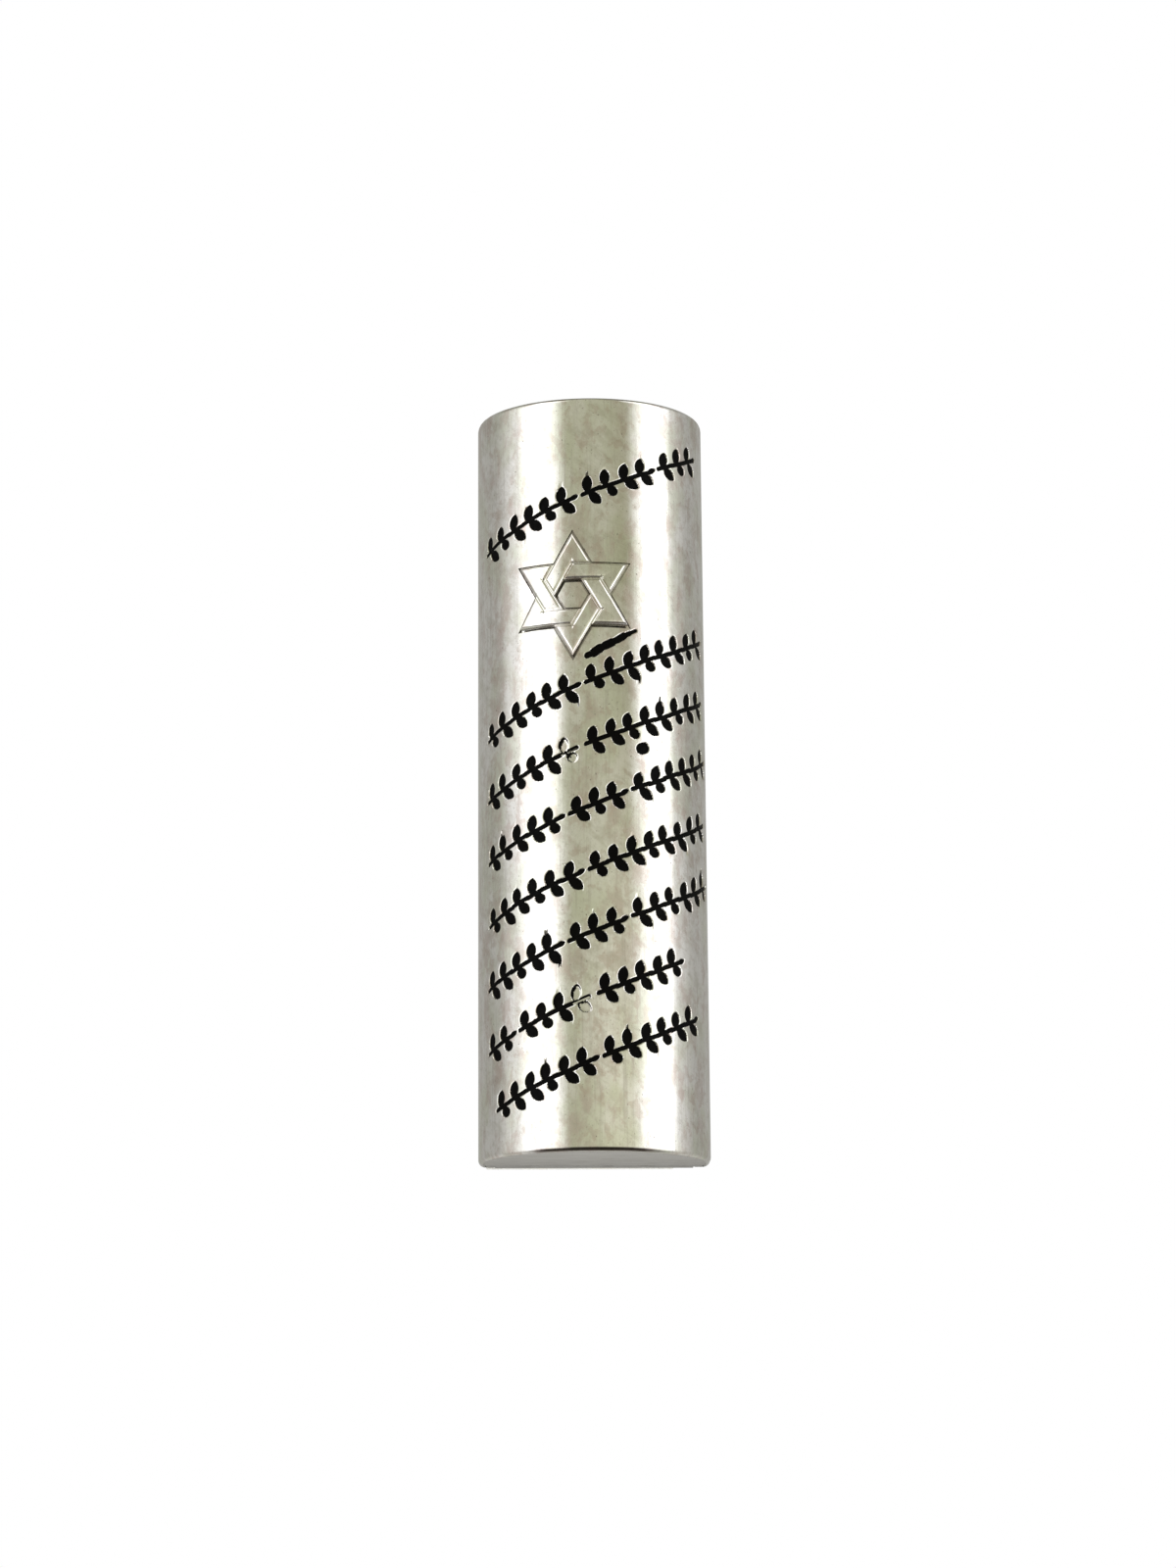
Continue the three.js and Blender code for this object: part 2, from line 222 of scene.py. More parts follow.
def apply_modifiers(obj):
    """Bakes the modifiers into the mesh, so that the piece is what it looks like."""
    graph = bpy.context.evaluated_depsgraph_get()
    baked = bpy.data.meshes.new_from_object(obj.evaluated_get(graph))
    obj.modifiers.clear()
    obj.data = baked
    return obj


def cut(obj, cutters):
    for cutter in cutters:
        modifier = obj.modifiers.new("cut", "BOOLEAN")
        modifier.operation = "DIFFERENCE"
        modifier.solver = "MANIFOLD"
        modifier.object = cutter
    apply_modifiers(obj)
    for cutter in cutters:
        bpy.data.objects.remove(cutter)
    return obj


def bevel(obj, width, segments=2, angle=35):
    modifier = obj.modifiers.new("bevel", "BEVEL")
    modifier.width = width * MM
    modifier.segments = segments
    modifier.limit_method = "ANGLE"
    modifier.angle_limit = math.radians(angle)
    return apply_modifiers(obj)


def faces_between(rings, is_loop=False):
    """Faces between neighbouring rings of points. A loop joins its last ring to the first one too."""
    count, size = len(rings[0]), len(rings)
    faces = []
    for ring in range(size if is_loop else size - 1):
        low, high = ring * count, (ring + 1) % size * count
        for i in range(count):
            j = (i + 1) % count
            faces.append((low + i, low + j, high + j, high + i))
    return faces


def solid(name, rings, material=None):
    """A piece from rings of points that all have the same count, closed by a face at each end."""
    count = len(rings[0])
    last = (len(rings) - 1) * count
    faces = faces_between(rings)
    faces.append(list(range(count))[::-1])
    faces.append(list(range(last, last + count)))
    return new_object(name, np.concatenate(rings), faces, material)


# ---- section of the case


ARCH_ANGLES = np.linspace(0, math.pi / 2, 4001)
_speed = np.hypot(HALF_WIDTH * np.cos(ARCH_ANGLES), ARCH_HEIGHT * np.sin(ARCH_ANGLES))
ARCH_LENGTHS = np.concatenate(
    [[0], np.cumsum((_speed[1:] + _speed[:-1]) / 2 * np.diff(ARCH_ANGLES))]
)
ARCH_LENGTH = ARCH_LENGTHS[-1]
SIDE_END = ARCH_LENGTH + SIDE_HEIGHT - BACK_CORNER_RADIUS
CORNER_END = SIDE_END + math.pi / 2 * BACK_CORNER_RADIUS
HALF_ROUND = CORNER_END + HALF_WIDTH - BACK_CORNER_RADIUS


def outline(distance):
    """Points and outward normals round the outside: arch, side, rounded back corner and back."""
    reach = np.abs(distance)
    hand = np.where(distance < 0, -1.0, 1.0)
    angle = np.interp(reach, ARCH_LENGTHS, ARCH_ANGLES)
    x, y = HALF_WIDTH * np.sin(angle), ARCH_BASE - ARCH_HEIGHT * np.cos(angle)
    nx, ny = ARCH_HEIGHT * np.sin(angle), -HALF_WIDTH * np.cos(angle)
    size = np.hypot(nx, ny)
    nx, ny = nx / size, ny / size

    side = (reach > ARCH_LENGTH) & (reach <= SIDE_END)
    x = np.where(side, HALF_WIDTH, x)
    y = np.where(side, ARCH_BASE + reach - ARCH_LENGTH, y)
    nx, ny = np.where(side, 1.0, nx), np.where(side, 0.0, ny)

    corner = (reach > SIDE_END) & (reach <= CORNER_END)
    turn = (reach - SIDE_END) / BACK_CORNER_RADIUS
    centre = HALF_WIDTH - BACK_CORNER_RADIUS
    x = np.where(corner, centre + BACK_CORNER_RADIUS * np.cos(turn), x)
    y = np.where(corner, CASE_BACK - BACK_CORNER_RADIUS * (1 - np.sin(turn)), y)
    nx, ny = np.where(corner, np.cos(turn), nx), np.where(corner, np.sin(turn), ny)

    back = reach > CORNER_END
    x = np.where(back, centre - (reach - CORNER_END), x)
    y = np.where(back, CASE_BACK, y)
    nx, ny = np.where(back, 0.0, nx), np.where(back, 1.0, ny)
    return x * hand, y, nx * hand, ny


def on_surface(distance, height, depth):
    x, y, nx, ny = outline(distance)
    return np.stack([x - depth * nx, y - depth * ny, height], -1)


def section_ring(inset, back, height, arch_steps=96):
    """Half-round ring at one height: straight sides from the back and an elliptical arch."""
    half_width = HALF_WIDTH - inset
    angles = np.linspace(0, math.pi, arch_steps + 1)
    x = np.concatenate([[half_width], half_width * np.cos(angles), [-half_width]])
    y = np.concatenate([[back], ARCH_BASE - (ARCH_HEIGHT - inset) * np.sin(angles), [back]])
    return np.stack([x, y, np.full_like(x, height)], -1)


def section_cutter(inset, back, low, high, flare=0.0):
    """Half-round prism that cuts. A flare widens its last end, and a negative one its first end."""
    ends = [(inset, low), (inset, high)]
    if flare > 0:
        ends[1:] = [(inset, HALF_LENGTH - flare), (inset - 2 * flare, high)]
    if flare < 0:
        ends[:1] = [(inset + 2 * flare, low), (inset, -HALF_LENGTH - flare)]
    return solid("cutter", [section_ring(reach, back, height) for reach, height in ends])


def box_cutter(low, high):
    x = (low[0], high[0], high[0], low[0])
    y = (low[1], low[1], high[1], high[1])
    return solid("cutter", [np.stack([x, y, [z] * 4], -1) for z in (low[2], high[2])])


# ---- engraving


class Field:
    """Distance to the nearest of many flat outlines, with its gradient, at points of the unrolled
    front: negative inside an outline. "filled" counts a bare outline only where a rim of enamel is
    left in it, along its upper left walls as painted shade."""

    FAR = 9.0
    MARGIN = 0.4

    def __init__(self, s, z):
        self.s, self.z = s, z
        self.value = np.full(s.shape, self.FAR)
        self.filled = np.full(s.shape, self.FAR)
        self.gs, self.gz = np.zeros(s.shape), np.zeros(s.shape)

    def near(self, centre, reach):
        return np.nonzero(
            (np.abs(self.s - centre[0]) < reach) & (np.abs(self.z - centre[1]) < reach)
        )

    def put(self, where, value, gs, gz, is_bare):
        closer = value < self.value[where]
        at = tuple(w[closer] for w in where)
        self.value[at], self.gs[at], self.gz[at] = value[closer], gs[closer], gz[closer]
        left = value
        if is_bare:
            # A bare outline keeps only a rim of black enamel, put along its upper left walls as painted
            # shade
            rim = PAINTED_SHADE_RESIDUE_WIDTH * (1 + (gz - gs) / math.sqrt(2)) / 2
            left = np.maximum(value, -value - rim)
        self.filled[where] = np.minimum(self.filled[where], left)

    def capsule(self, start, end, radius, is_bare=False):
        start, end = np.array(start), np.array(end)
        run = end - start
        where = self.near((start + end) / 2, np.linalg.norm(run) / 2 + radius + self.MARGIN)
        ps, pz = self.s[where] - start[0], self.z[where] - start[1]
        share = np.clip((ps * run[0] + pz * run[1]) / (run @ run), 0, 1)
        ds, dz = ps - share * run[0], pz - share * run[1]
        size = np.maximum(np.hypot(ds, dz), 1e-6)
        self.put(where, size - radius, ds / size, dz / size, is_bare)

    def leaf(self, root, angle, length, width, is_bare=False):
        """Pointed oval between two arcs, from its root to its tip."""
        along = np.array([math.cos(angle), math.sin(angle)])
        centre = np.array(root) + along * length / 2
        where = self.near(centre, length / 2 + self.MARGIN)
        ps, pz = self.s[where] - centre[0], self.z[where] - centre[1]
        y = ps * along[0] + pz * along[1]
        x = -ps * along[1] + pz * along[0]
        sx, sy = np.sign(x), np.sign(y)
        x, y = np.abs(x), np.abs(y)
        half_length, half_width = length / 2, width / 2
        shift = (half_length**2 - half_width**2) / (2 * half_width)
        radius = shift + half_width
        beyond = (y - half_length) * shift > x * half_length
        dx, dy = np.where(beyond, x, x + shift), np.where(beyond, y - half_length, y)
        size = np.maximum(np.hypot(dx, dy), 1e-6)
        value = size - np.where(beyond, 0, radius)
        gx, gy = sx * dx / size, sy * dy / size
        gs = gy * along[0] - gx * along[1]
        gz = gy * along[1] + gx * along[0]
        self.put(where, value, gs, gz, is_bare)


def sprigs():
    """Each sprig as (row, sprig, first distance, leaf pairs, height of its row at the crown)."""
    for row, (start, row_of_pairs) in enumerate(ROWS, 1):
        height = TOP_ROW_HEIGHT if row == 1 else SECOND_ROW_HEIGHT - (row - 2) * ROW_PITCH
        for sprig, pairs in enumerate(row_of_pairs, 1):
            yield row, sprig, start, pairs, height
            start += pairs * LEAF_PITCH + SPRIG_GAP


def draw_sprig(field, row, sprig, start, pairs, height, random):
    """An olive sprig: a stem, opposite leaves, now and then an olive, and a leaf at the tip."""
    turn = math.atan(ROW_SLOPE)

    def place(distance, across=0.0):
        return np.array(
            [distance - across * math.sin(turn), height + ROW_SLOPE * distance + across * math.cos(turn)]
        )

    for pair in range(pairs):
        middle = start + (pair + 0.5) * LEAF_PITCH
        is_bare = (row, sprig, pair + 1) in BARE_PAIRS
        sway = random.uniform(-STEM_SWAY, STEM_SWAY, 2)
        first, last = place(middle - LEAF_PITCH / 2, sway[0]), place(middle + LEAF_PITCH / 2, sway[1])
        field.capsule(first, last, STEM_RADIUS, is_bare)
        for hand in (1, -1):
            lean, grow = random.normal(0, 0.07), random.uniform(0.9, 1.06)
            angle = turn + hand * (LEAF_TURN + lean)
            heading = np.array([math.cos(angle), math.sin(angle)])
            root = place(middle - LEAF_SET_BACK[hand], LEAF_OFFSET * hand)
            if hand < 0 and (pair + row) % 3 == 2:
                tip = root + STALK_LENGTH * heading
                field.capsule(root, tip, STALK_RADIUS, is_bare)
                field.capsule(tip, tip + OLIVE_LENGTH * heading, OLIVE_RADIUS, is_bare)
            else:
                field.leaf(root, angle, LEAF_LENGTH * grow, LEAF_WIDTH, is_bare)
    end = place(start + pairs * LEAF_PITCH - TIP_LEAF_SET_BACK)
    if (row, sprig, pairs) not in BARE_PAIRS:
        field.leaf(end, turn + TIP_LEAF_TURN, TIP_LEAF_LENGTH, TIP_LEAF_WIDTH)


def engraving(s, z):
    """The field of every engraved outline. The random draws are the same at every call."""
    random = np.random.default_rng(SEED)
    field = Field(s, z)
    for sprig in sprigs():
        draw_sprig(field, *sprig, random)
    run = np.array(ACCENT_END) - ACCENT_START
    points = ACCENT_START + run * np.linspace(0, 1, len(ACCENT_RADII) + 1)[:, None]
    points[1:-1] += random.uniform(-0.05, 0.05, (len(points) - 2, 2))
    for first, last, radius in zip(points, points[1:], ACCENT_RADII):
        field.capsule(first, last, radius)
    lean = np.array([DOT_HALF_WIDTH - DOT_HALF_HEIGHT, 0.04])
    field.capsule(DOT_PLACE - lean, DOT_PLACE + lean, DOT_HALF_HEIGHT)
    return field


def snap(s, z, make_field, levels, reach, rounds=2):
    """Moves grid points onto the field's level lines, so that edges follow the drawn outlines."""
    for _ in range(rounds):
        field = make_field(s, z)
        for level in levels:
            off = field.value - level
            near = np.abs(off) < reach
            s = np.where(near, s - off * field.gs, s)
            z = np.where(near, z - off * field.gz, z)
    return s, z, make_field(s, z)


def steps(first, last, step):
    return np.linspace(first, last, max(1, round(abs(last - first) / step)) + 1)


def column_distances():
    """Columns all the way round the case: close together where the front is engraved."""
    fine = steps(-FINE_REACH, FINE_REACH, FINE_STEP)
    ends = (FINE_REACH, ARCH_LENGTH, SIDE_END, CORNER_END, HALF_ROUND)
    parts = zip(ends, ends[1:], OUTER_STEPS)
    outer = np.concatenate([steps(*part)[1:] for part in parts])
    return np.concatenate([-outer[::-1][1:], fine, outer])


def row_lines():
    """Heights at the crown of the grid's rows: close together along each engraved row."""
    middles = [TOP_ROW_HEIGHT] + [SECOND_ROW_HEIGHT - row * ROW_PITCH for row in range(len(ROWS) - 1)]
    strips = [[middle - HALF_STRIP, middle + HALF_STRIP] for middle in middles]
    # The accent is above the second row and the dot below the third
    strips[1][1] = ACCENT_END[1] - ROW_SLOPE * ACCENT_END[0] + ACCENT_MARGIN
    strips[2][0] = DOT_PLACE[1] - ROW_SLOPE * DOT_PLACE[0] - DOT_MARGIN
    lines = [steps(HALF_LENGTH, strips[0][1], TOP_STEP)]
    for index, (low, high) in enumerate(strips):
        lines.append(steps(high, low, FINE_STEP)[1:])
        below = strips[index + 1][1] if index + 1 < len(strips) else -HALF_LENGTH
        lines.append(steps(low, below, PLAIN_STEP)[1:])
    return np.concatenate(lines)[::-1], strips[-1][0], strips[0][1]


def edge_radius(distance):
    """The rounding of the end edges: crisp in front, and worn towards the back corners."""
    share = np.clip((np.abs(distance) - BACK_EDGE_START) / BACK_EDGE_RUN, 0, 1)
    return FRONT_EDGE_RADIUS + (BACK_EDGE_RADIUS - FRONT_EDGE_RADIUS) * share**2 * (3 - 2 * share)


def shell_grid():
    """The outside of the shell as a grid: distance and height of each point, rows by columns."""
    columns = column_distances()
    lines, low, high = row_lines()
    s, w = np.meshgrid(columns, lines)
    end = HALF_LENGTH - edge_radius(s)
    tilt = ROW_SLOPE * np.clip(s, -FINE_REACH, FINE_REACH)
    z = w + tilt
    above = np.clip((w - high) / (HALF_LENGTH - high), 0, 1)
    z = np.where(w > high, (1 - above) * (high + tilt) + above * end, z)
    below = np.clip((low - w) / (HALF_LENGTH + low), 0, 1)
    z = np.where(w < low, (1 - below) * (low + tilt) - below * end, z)
    return s, z


def depth_at(value):
    marks = [-WALL_RUN - FLOOR_RUN, -WALL_RUN, 0.0, SHOULDER]
    return np.interp(value, marks, [FLOOR_DEPTH, WALL_FOOT_DEPTH, SHOULDER_DROP, 0.0])


def read(items, key, width=1, kind=float):
    """One property of all the items of a mesh, as rows of width numbers."""
    values = np.empty(len(items) * width, kind)
    items.foreach_get(key, values)
    return values.reshape(-1, width) if width > 1 else values


def true_normals(mesh):
    """Gives every untouched part of the curved front its exact normals, so that it mirrors evenly."""
    place = read(mesh.vertices, "co", 3) / MM
    corner = read(mesh.corner_normals, "vector", 3)
    sizes = read(mesh.polygons, "loop_total", kind=int)
    face = np.repeat(read(mesh.polygon_normals, "vector", 3), sizes, 0)
    vertex = read(mesh.loops, "vertex_index", kind=int)

    x, y = place[:, 0] / HALF_WIDTH, (place[:, 1] - ARCH_BASE) / ARCH_HEIGHT
    exact = np.stack([x / HALF_WIDTH, y / ARCH_HEIGHT, np.zeros_like(x)], -1)
    exact /= np.linalg.norm(exact, axis=1, keepdims=True) + 1e-9
    straight = np.abs(place[:, 2]) < HALF_LENGTH - edge_radius(place[:, 0] * 0) + 0.001
    on_arch = (np.abs(x * x + y * y - 1) < 0.0008) & (y < 0) & straight
    chosen = on_arch[vertex] & ((exact[vertex] * face).sum(1) > 0.8)
    corner[chosen] = exact[vertex][chosen]
    mesh.normals_split_custom_set(corner.tolist())


def make_shell(material):
    """The shell: an engraved half-round skin with rounded ends, hollowed as the CAD shell is.
    Returns the piece and the engraved grid, which the inlays share."""
    s, z = shell_grid()
    fixed = np.zeros(s.shape, bool)
    fixed[[0, -1], :] = True
    snapped_s, snapped_z, field = snap(s, z, engraving, (SHOULDER, 0.0, -WALL_RUN), SNAP_REACH)
    s, z = np.where(fixed, s, snapped_s), np.where(fixed, z, snapped_z)
    skin = on_surface(s, z, np.where(fixed, 0.0, depth_at(field.value)))

    edge = s[0]
    radius = edge_radius(edge)
    rings = []
    for hand, turns in ((-1, range(EDGE_STEPS, 0, -1)), (1, range(1, EDGE_STEPS + 1))):
        for turn in turns:
            angle = turn * math.pi / (2 * EDGE_STEPS)
            inset = radius * (1 - math.cos(angle))
            height = hand * (HALF_LENGTH - radius + radius * math.sin(angle))
            rings.append(on_surface(edge, height, inset))
    shell = solid("shell", rings[:EDGE_STEPS] + list(skin) + rings[EDGE_STEPS:], material)

    rebate = HALF_LENGTH - CAP_THICKNESS
    groove = HALF_WIDTH - SHELL_WALL + GROOVE_DEPTH
    beyond = HALF_LENGTH + 1
    cut(
        shell,
        [
            section_cutter(SHELL_WALL, CASE_BACK + 1, -beyond, beyond),
            box_cutter((-groove, GROOVE_FRONT, -beyond), (groove, CASE_BACK - BACK_LIP, beyond)),
            section_cutter(LIP_WIDTH, CASE_BACK + 1, rebate, beyond, SEAM_CHAMFER),
            section_cutter(LIP_WIDTH, GROOVE_FRONT, -beyond, -rebate, -SEAM_CHAMFER),
            *star_seat_cutters(),
        ],
    )
    shade(shell.data, 38)
    true_normals(shell.data)
    return shell, s, z, field


def without_corner_contacts(cell):
    """Drops cells that touch another cell only at a corner, so that a slab made of them is closed."""
    cell = cell.copy()
    while True:
        first, second = cell[:-1, :-1], cell[:-1, 1:]
        third, fourth = cell[1:, :-1], cell[1:, 1:]
        falling = first & fourth & ~second & ~third
        rising = second & third & ~first & ~fourth
        if not (falling.any() or rising.any()):
            return cell
        fourth[falling] = False
        third[rising] = False


def make_inlay(name, s, z, field, inside, material):
    """Enamel in one engraved outline: the grid cells that lie in it, as a slab with a dished top."""
    corner = inside & (field.filled <= 0.004)
    cell = corner[:-1, :-1] & corner[1:, :-1] & corner[:-1, 1:] & corner[1:, 1:]
    rows, columns = np.nonzero(without_corner_contacts(cell))
    width = s.shape[1]
    quads = np.stack([rows * width + columns + step for step in (0, 1, width + 1, width)], -1)
    used, quads = np.unique(quads, return_inverse=True)
    quads = quads.reshape(-1, 4)
    us, uz = s.ravel()[used], z.ravel()[used]
    gs, gz = field.gs.ravel()[used], field.gz.ravel()[used]
    value = np.minimum(field.value.ravel()[used], 0)
    rim = np.clip(1 + value / 0.05, 0, 1)
    dish = np.interp(-value, [0, 0.2], [ENAMEL_EDGE_DEPTH, ENAMEL_MIDDLE_DEPTH])
    ripple = 0.012 * np.sin(us * 5.1 + 1.3 * np.sin(uz * 3.7)) * np.sin(uz * 4.3)
    inset = ENAMEL_TOP_INSET * rim
    top = on_surface(us - inset * gs, uz - inset * gz, dish + ripple)
    inset = ENAMEL_FOOT_INSET * rim
    foot = on_surface(us - inset * gs, uz - inset * gz, np.full(us.shape, ENAMEL_FOOT_DEPTH))
    count = len(used)
    edges = {}
    for quad in quads:
        for i in range(4):
            a, b = int(quad[i]), int(quad[(i + 1) % 4])
            if (b, a) in edges:
                del edges[(b, a)]
            else:
                edges[(a, b)] = True
    walls = [(a, b, b + count, a + count) for a, b in edges]
    faces = quads.tolist() + (quads[:, ::-1] + count).tolist() + walls
    return new_object(name, np.concatenate([top, foot]), faces, material, 40)


# ---- star


def star_profile():
    """Section of a band as (offset across, height): flat-topped, with well rounded shoulders."""
    half, centre = STAR_BAND / 2, STAR_RISE - STAR_SHOULDER
    turns = np.linspace(math.pi, math.pi / 2, 13)
    across = STAR_SHOULDER * (1 + np.cos(turns)) - half
    left = np.stack([across, centre + STAR_SHOULDER * np.sin(turns)], -1)
    right = left[::-1] * [-1, 1]
    return np.concatenate([[(-half, STAR_FOOT)], left, right, [(half, STAR_FOOT)]])


def star_sides(first_turn):
    """Each side of a triangle as unit vectors: out from the star's centre, and along the side."""
    for side in range(3):
        turn = first_turn - side * 2 * math.pi / 3
        out = np.array([-math.sin(turn), math.cos(turn)])
        yield out, np.array([math.cos(turn), math.sin(turn)])


def on_star(flat, height):
    return on_surface(STAR_DISTANCE + flat[:, 0], STAR_HEIGHT + flat[:, 1], -height)


def triangle_band(name, first_turn, profile, weave, material):
    """One triangle of the star: a band with mitred corners, bent round the front. Its top is a hair
    lower a third of the way along each side, where it passes under the other triangle, and a hair
    higher at two thirds, where it passes over."""
    steps_per_side = 120
    level = (STAR_RADIUS - STAR_BAND) / 2 + profile[:, :1]
    height = profile[:, 1]
    rings = []
    for out, along in star_sides(first_turn):
        for share in np.linspace(-1, 1, steps_per_side + 1)[:-1]:
            flat = level * out + level * math.sqrt(3) * share * along
            lift = weave * math.sin(1.5 * math.pi * share) if abs(share) < 2 / 3 else 0.0
            rings.append(on_star(flat, height + lift * (height > STAR_WOVEN_ABOVE)))
    return new_object(name, np.concatenate(rings), faces_between(rings, True), material)


def star_channels():
    """Cutters that carry the rounded shoulders of the upper band on across each crossing, down into
    the band below."""
    half, middle = STAR_BAND / 2, (STAR_RADIUS - STAR_BAND) / 2
    turns = np.linspace(math.radians(82), math.radians(22), 9)
    across = STAR_SHOULDER * (np.cos(turns) - 1)
    shoulder = np.stack([across, STAR_RISE + STAR_SHOULDER * (np.sin(turns) - 1)], -1)
    low = shoulder[-1, 1]
    # Past the shoulder the channel rises again, out of the band below
    far = [(0.03, low), (0.1, low + 0.03), (0.24, STAR_RISE + 0.03), (0.24, 1.0)]
    profile = np.concatenate([[(across[0], 1.0)], shoulder, far])
    cutters = []
    for first_turn in (0.0, math.pi):
        for out, along in star_sides(first_turn):
            for edge in (1, -1):
                level = middle + edge * (half + profile[:, :1])
                rings = []
                for past in np.linspace(-half - 0.04, half + 0.04, 30):
                    run = (past + middle - level / 2) * 2 / math.sqrt(3)
                    rings.append(on_star(level * out + run * along, profile[:, 1]))
                cutters.append(solid("cutter", rings))
    return cutters


def make_star(material):
    star = triangle_band("star", 0.0, star_profile(), STAR_WEAVE, material)
    other = triangle_band("cutter", math.pi, star_profile(), STAR_WEAVE, material)
    join = star.modifiers.new("join", "BOOLEAN")
    join.operation, join.solver, join.object = "UNION", "MANIFOLD", other
    apply_modifiers(star)
    bpy.data.objects.remove(other)
    cut(star, star_channels())
    shade(star.data, 15)
    return star


def star_seat_cutters():
    """Two flat-bottomed bands, a little wider than the star's, that sink its seat in the shell."""
    half = STAR_BAND / 2 + STAR_CLEARANCE
    profile = np.array([(-half, -STAR_SEAT_DEPTH), (-half, 1.0), (half, 1.0), (half, -STAR_SEAT_DEPTH)])
    return [triangle_band("cutter", turn, profile, 0.0, None) for turn in (0.0, math.pi)]


# ---- caps, plate, tape, scroll


def make_cap(name, inset, back, flange, plug_end, material):
    """A flange that fills the shell's rebate, with a plug behind it and broken edges."""
    outer, inner = flange
    hand = 1 if outer > inner else -1
    plug_inset = SHELL_WALL + FIT_GAP
    plug_back = GROOVE_FRONT - FIT_GAP
    rings = [
        section_ring(inset + CAP_EDGE, back - CAP_EDGE, outer),
        section_ring(inset, back, outer - hand * CAP_EDGE),
        section_ring(inset, back, inner),
        section_ring(plug_inset, plug_back, inner),
        section_ring(plug_inset, plug_back, plug_end + hand * PLUG_TAPER_LENGTH),
        section_ring(plug_inset + PLUG_TAPER, plug_back - PLUG_BACK_TAPER, plug_end),
    ]
    return solid(name, rings, material)


def tube_cutter(radius, centre, low, high, sides=64):
    angles = np.linspace(0, 2 * math.pi, sides + 1)[:-1]
    ring = np.array([[math.cos(angle), math.sin(angle), 0] for angle in angles]) * radius
    return solid("cutter", [ring + [0, centre, low], ring + [0, centre, high]])


def make_caps(material):
    inset = LIP_WIDTH + SEAM
    top = make_cap(
        "top_cap_piece",
        inset,
        CASE_BACK,
        (TOP_CAP_HIGH[2], HALF_LENGTH - CAP_THICKNESS + FIT_GAP),
        TOP_CAP_LOW[2],
        material,
    )
    shade(top.data, 30)
    bottom = make_cap(
        "bottom_cap_piece",
        inset,
        GROOVE_FRONT - FIT_GAP,
        (BOTTOM_CAP_LOW[2], -HALF_LENGTH + CAP_THICKNESS - FIT_GAP),
        BOTTOM_CAP_HIGH[2],
        material,
    )
    centre = (SLEEVE_LOW[1] + SLEEVE_HIGH[1]) / 2
    radius = (SLEEVE_HIGH[0] - SLEEVE_LOW[0]) / 2 + FIT_GAP
    cut(bottom, [tube_cutter(radius, centre, SLEEVE_LOW[2] - FIT_GAP, BOTTOM_CAP_HIGH[2] + 1)])
    shade(bottom.data, 30)
    return top, bottom


def make_plate(material):
    """Sheet-metal plate with a tongue along each side, its edges broken by a small bevel."""
    web = HALF_WIDTH - SHELL_WALL - FIT_GAP
    tongue = web + GROOVE_DEPTH
    tongue_back = CASE_BACK - BACK_LIP - FIT_GAP
    front = PLATE_LOW[1]
    half = [(web, CASE_BACK), (web, tongue_back), (tongue, tongue_back), (tongue, front)]
    section = half + [(-x, y) for x, y in half[::-1]]
    rings = [np.array([[x, y, z] for x, y in section]) for z in (PLATE_LOW[2], PLATE_HIGH[2])]
    plate = solid("plate", rings, material)
    bevel(plate, 0.07, 3)
    shade(plate.data, 30)
    return plate


def make_tape(material):
    """Foam tape: a soft-edged strip with slightly uneven, swollen sides and a dimpled outer face."""
    random = np.random.default_rng(SEED + 1)
    across = steps(TAPE_LOW[0], TAPE_HIGH[0], 0.5)
    along = steps(TAPE_LOW[2], TAPE_HIGH[2], 0.5)
    through = np.linspace(0, 1, 7)
    path = [(x, 0.0) for x in across] + [(across[-1], t) for t in through[1:-1]]
    path += [(x, 1.0) for x in across[::-1]] + [(across[0], t) for t in through[::-1][1:-1]]
    path = np.array(path)
    thickness = TAPE_HIGH[1] - TAPE_LOW[1]
    rings = []
    for z in along:
        waist = 0.05 * np.sin(path[:, 1] * math.pi)
        side = np.sign(path[:, 0] - (TAPE_LOW[0] + TAPE_HIGH[0]) / 2)
        at_side = (path[:, 0] <= across[0]) | (path[:, 0] >= across[-1])
        wander = 0.03 * math.sin(z * 0.9) + random.normal(0, 0.012, len(path))
        x = path[:, 0] + np.where(at_side, side * (waist - 0.06 + wander), 0)
        dimple = 0.5 + 0.5 * np.sin(path[:, 0] * 1.9 + 2 * math.sin(z * 0.37)) * math.sin(z * 1.1)
        y = TAPE_LOW[1] + thickness * path[:, 1] - 0.05 * dimple * (path[:, 1] == 1)
        rings.append(np.stack([x, y, np.full_like(x, z)], -1))
    tape = solid("tape", rings, material)
    bevel(tape, 0.05, 2)
    shade(tape.data, 30)
    return tape


def make_sleeve(material):
    """Clear tube with rounded rims, drawn as a closed profile turned about its axis."""
    centre = (SLEEVE_LOW[1] + SLEEVE_HIGH[1]) / 2
    outer = (SLEEVE_HIGH[0] - SLEEVE_LOW[0]) / 2
    wall = 0.25
    middle, low, high = outer - wall / 2, SLEEVE_LOW[2], SLEEVE_HIGH[2]
    profile = []
    for end, first in ((high - wall / 2, 0), (low + wall / 2, math.pi)):
        for step in range(7):
            turn = first + step * math.pi / 6
            profile.append((middle + wall / 2 * math.cos(turn), end + wall / 2 * math.sin(turn)))
    sides = 72
    rings = []
    for side in range(sides):
        turn = 2 * math.pi * side / sides
        rings.append([(r * math.cos(turn), centre + r * math.sin(turn), z) for r, z in profile])
    return new_object("sleeve", np.concatenate(rings), faces_between(rings, True), material, 50)


